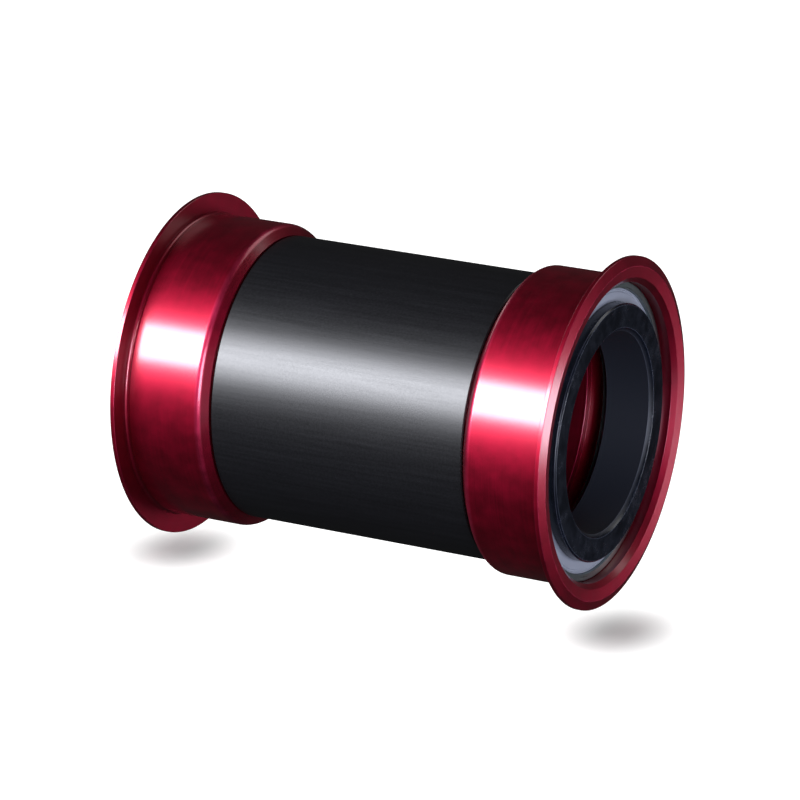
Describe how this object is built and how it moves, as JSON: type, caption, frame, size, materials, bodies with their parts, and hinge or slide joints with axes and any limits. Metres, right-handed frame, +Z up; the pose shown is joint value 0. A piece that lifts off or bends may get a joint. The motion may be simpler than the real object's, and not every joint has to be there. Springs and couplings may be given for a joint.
{
  "type": "bicycle bottom bracket",
  "caption": "Press-fit bicycle bottom bracket: red flanged cups with sealed bearings at both ends of a black centre sleeve.",
  "frame": {"origin": "middle of the frame's shell, on the spindle axis, which is also the centre of the object's box", "axes": "+Y along the spindle axis towards the bicycle's non-drive (left) side, +Z up, +X towards the front of the bicycle; the drive side is at -Y"},
  "size_m": [0.0522, 0.0704, 0.0522],
  "materials": {
    "cup_anodised": "red anodised, fine turned grain around the axis",
    "sleeve_anodised": "black anodised, satin, faint drawn lines along the axis",
    "top_hat_black": "turned black acetal, glossy",
    "bearing_steel": "ground bearing steel",
    "bearing_balls": "polished bearing balls",
    "seal_face": "blue-grey moulded seal face, satin",
    "retainer_nylon": "moulded nylon",
    "o_ring_rubber": "black rubber"
  },
  "bodies": {
    "frame_parts": {"drive_cup": "cup_anodised", "drive_sleeve_o_ring": "o_ring_rubber", "drive_outer_race": "bearing_steel", "drive_outboard_seal": "seal_face", "drive_inboard_seal": "seal_face", "centre_sleeve": "sleeve_anodised", "non_drive_cup": "cup_anodised", "non_drive_sleeve_o_ring": "o_ring_rubber", "non_drive_outer_race": "bearing_steel", "non_drive_outboard_seal": "seal_face", "non_drive_inboard_seal": "seal_face"},
    "drive_inner": {"drive_inner_race": "bearing_steel", "drive_top_hat": "top_hat_black"},
    "drive_ball_row": {"drive_ball_retainer": "retainer_nylon", "drive_ball_01": "bearing_balls", "drive_ball_02": "bearing_balls", "drive_ball_03": "bearing_balls", "drive_ball_04": "bearing_balls", "drive_ball_05": "bearing_balls", "drive_ball_06": "bearing_balls", "drive_ball_07": "bearing_balls", "drive_ball_08": "bearing_balls", "drive_ball_09": "bearing_balls", "drive_ball_10": "bearing_balls", "drive_ball_11": "bearing_balls", "drive_ball_12": "bearing_balls", "drive_ball_13": "bearing_balls", "drive_ball_14": "bearing_balls", "drive_ball_15": "bearing_balls", "drive_ball_16": "bearing_balls", "drive_ball_17": "bearing_balls", "drive_ball_18": "bearing_balls", "drive_ball_19": "bearing_balls", "drive_ball_20": "bearing_balls"},
    "non_drive_inner": {"non_drive_inner_race": "bearing_steel", "non_drive_top_hat": "top_hat_black"},
    "non_drive_ball_row": {"non_drive_ball_retainer": "retainer_nylon", "non_drive_ball_01": "bearing_balls", "non_drive_ball_02": "bearing_balls", "non_drive_ball_03": "bearing_balls", "non_drive_ball_04": "bearing_balls", "non_drive_ball_05": "bearing_balls", "non_drive_ball_06": "bearing_balls", "non_drive_ball_07": "bearing_balls", "non_drive_ball_08": "bearing_balls", "non_drive_ball_09": "bearing_balls", "non_drive_ball_10": "bearing_balls", "non_drive_ball_11": "bearing_balls", "non_drive_ball_12": "bearing_balls", "non_drive_ball_13": "bearing_balls", "non_drive_ball_14": "bearing_balls", "non_drive_ball_15": "bearing_balls", "non_drive_ball_16": "bearing_balls", "non_drive_ball_17": "bearing_balls", "non_drive_ball_18": "bearing_balls", "non_drive_ball_19": "bearing_balls", "non_drive_ball_20": "bearing_balls"}
  },
  "joints": [
    {"name": "drive_spindle_turn", "type": "hinge", "parent": "frame_parts", "child": "drive_inner", "pos_m": [0, -0.0292, 0], "axis": [0, 1, 0], "continuous": true},
    {"name": "drive_ball_row_turn", "type": "hinge", "parent": "frame_parts", "child": "drive_ball_row", "pos_m": [0, -0.0292, 0], "axis": [0, 1, 0], "continuous": true},
    {"name": "non_drive_spindle_turn", "type": "hinge", "parent": "frame_parts", "child": "non_drive_inner", "pos_m": [0, 0.0292, 0], "axis": [0, 1, 0], "continuous": true},
    {"name": "non_drive_ball_row_turn", "type": "hinge", "parent": "frame_parts", "child": "non_drive_ball_row", "pos_m": [0, 0.0292, 0], "axis": [0, 1, 0], "continuous": true}
  ],
  "couplings": [
    {"joint": "drive_ball_row_turn", "follows": "drive_spindle_turn", "ratio": 0.4532},
    {"joint": "non_drive_ball_row_turn", "follows": "non_drive_spindle_turn", "ratio": 0.4532}
  ]
}
